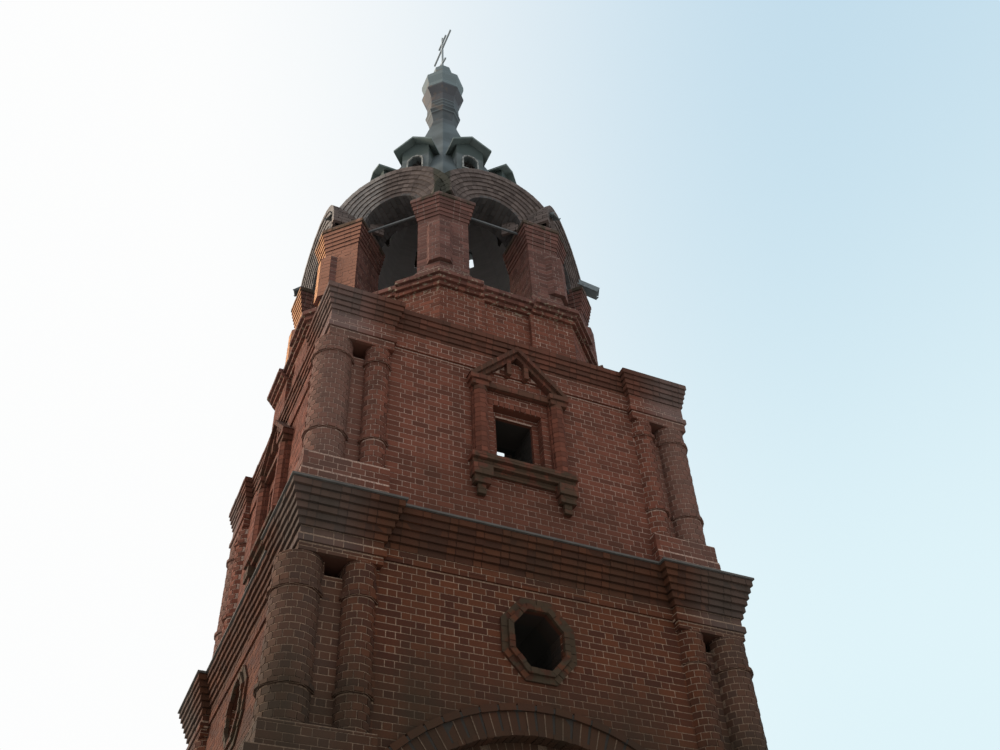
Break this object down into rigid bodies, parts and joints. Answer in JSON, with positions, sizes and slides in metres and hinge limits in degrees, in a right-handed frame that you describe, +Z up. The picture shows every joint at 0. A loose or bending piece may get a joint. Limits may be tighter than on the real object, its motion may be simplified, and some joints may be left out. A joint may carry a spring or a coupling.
{
  "type": "bell tower",
  "caption": "Brick bell tower: two square storeys with columned corner piers, an open octagonal belfry, a sheet-metal tent roof with dormers and a cross.",
  "frame": {"origin": "centre of the tower's footprint at ground level", "axes": "+Z up along the tower, -Y out of the front with the camera's side, +X to the right of the front"},
  "size_m": [7.4, 7.4, 29.98],
  "materials": {
    "brickwork": "dark red hand-made brick in lime mortar, weathered and stained",
    "moulded_brick": "dark red-brown brick of the mouldings, sooty and grown over in places",
    "tent_sheet": "weathered grey sheet metal with standing seams",
    "dark_sheet": "dark green-grey painted sheet metal, dull",
    "iron": "dark wrought iron"
  },
  "bodies": {
    "root": {"belfry_arch_1": "brickwork", "belfry_arch_2": "brickwork", "belfry_arch_3": "brickwork", "belfry_arch_4": "brickwork", "belfry_arch_5": "brickwork", "belfry_arch_6": "brickwork", "belfry_arch_7": "brickwork", "belfry_arch_8": "brickwork", "belfry_parapet": "brickwork", "belfry_piers": "brickwork", "belfry_sill": "moulded_brick", "cornice_capping": "dark_sheet", "cross": "iron", "cupola": "dark_sheet", "cupola_cap": "dark_sheet", "cupola_skirt": "dark_sheet", "dormer_roofs": "dark_sheet", "dormer_walls": "tent_sheet", "gutter_spouts": "dark_sheet", "inner_corbels": "brickwork", "lower_cornice": "moulded_brick", "lower_neck": "tent_sheet", "lower_pier_ne": "brickwork", "lower_pier_nw": "brickwork", "lower_pier_se": "brickwork", "lower_pier_sw": "brickwork", "lower_wall_east": "brickwork", "lower_wall_north": "brickwork", "lower_wall_south": "brickwork", "lower_wall_west": "brickwork", "oculus_frames": "moulded_brick", "portal_arches": "moulded_brick", "tent_roof": "tent_sheet", "tie_rods": "iron", "upper_cornice": "moulded_brick", "upper_pier_ne": "brickwork", "upper_pier_nw": "brickwork", "upper_pier_se": "brickwork", "upper_pier_sw": "brickwork", "upper_wall_east": "brickwork", "upper_wall_north": "brickwork", "upper_wall_south": "brickwork", "upper_wall_west": "brickwork", "window_surrounds": "moulded_brick"}
  },
  "joints": []
}
